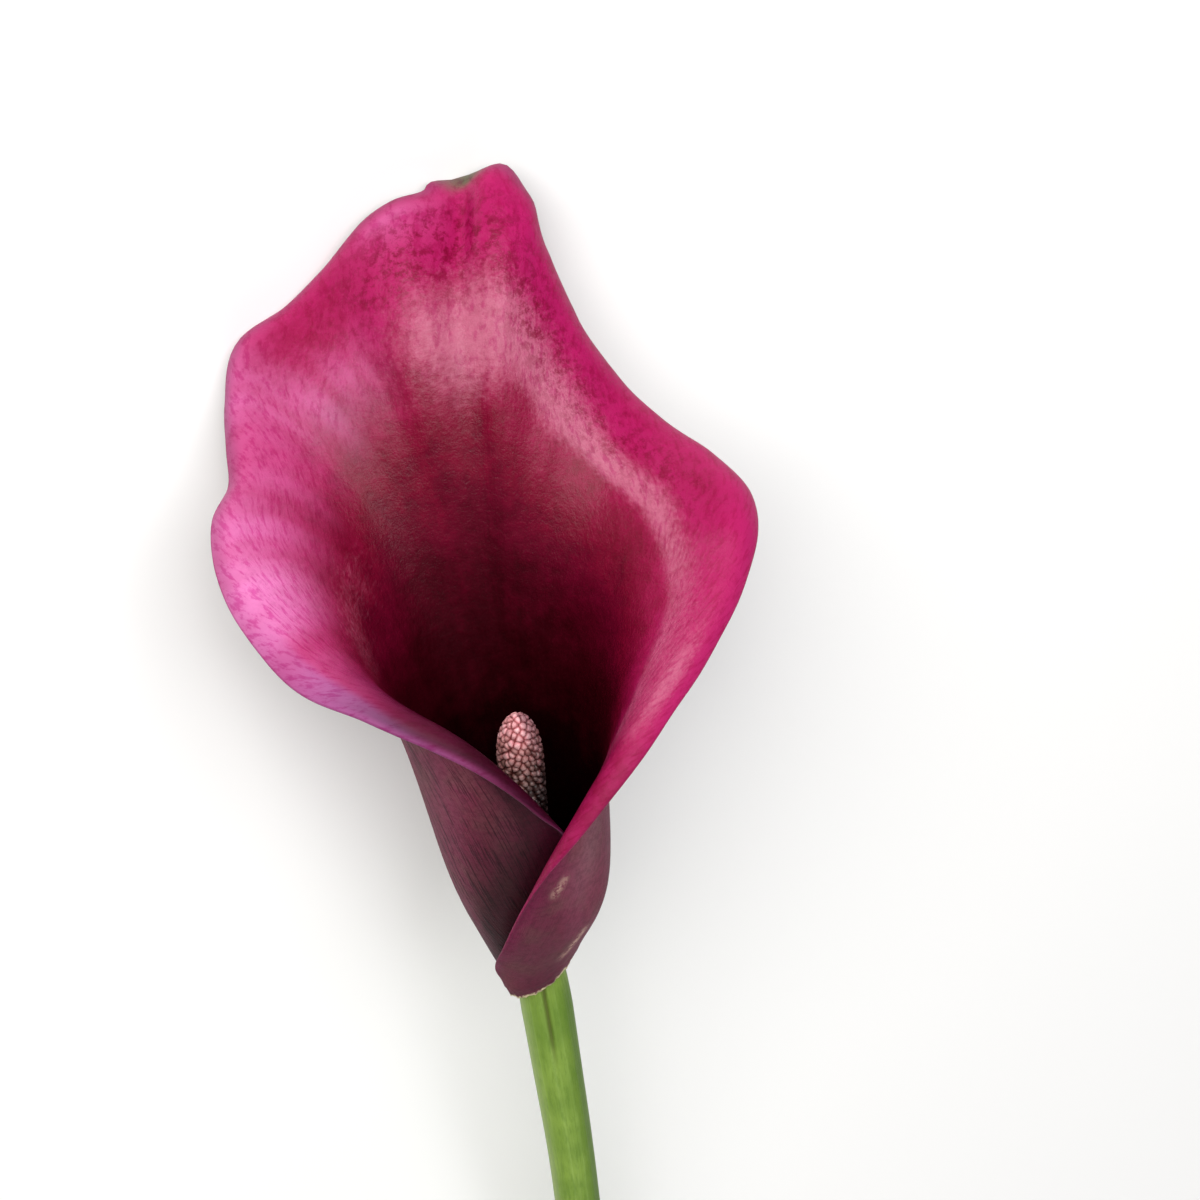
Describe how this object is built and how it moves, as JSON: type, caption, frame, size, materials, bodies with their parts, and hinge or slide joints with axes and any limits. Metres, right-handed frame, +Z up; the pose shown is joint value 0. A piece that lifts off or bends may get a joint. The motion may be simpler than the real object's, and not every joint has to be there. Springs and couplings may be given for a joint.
{
  "type": "arum lily flower",
  "caption": "Picked arum lily flower lying down: a magenta spathe rolled into a flared funnel, a beaded spadix in its throat, and a smooth green cut stem.",
  "frame": {"origin": "on the surface that the flower lies on, under the middle of its box", "axes": "+Z up from that surface, +Y along the stem from the cut end to the spathe's tip, +X to the flower's right as seen from in front of its mouth"},
  "size_m": [0.0662, 0.2878, 0.0506],
  "materials": {
    "spathe_tissue": "satin",
    "spadix_florets": "matte",
    "stem_skin": "satin"
  },
  "bodies": {
    "root": {"spathe": "spathe_tissue", "spadix": "spadix_florets", "stem": "stem_skin"}
  },
  "joints": []
}
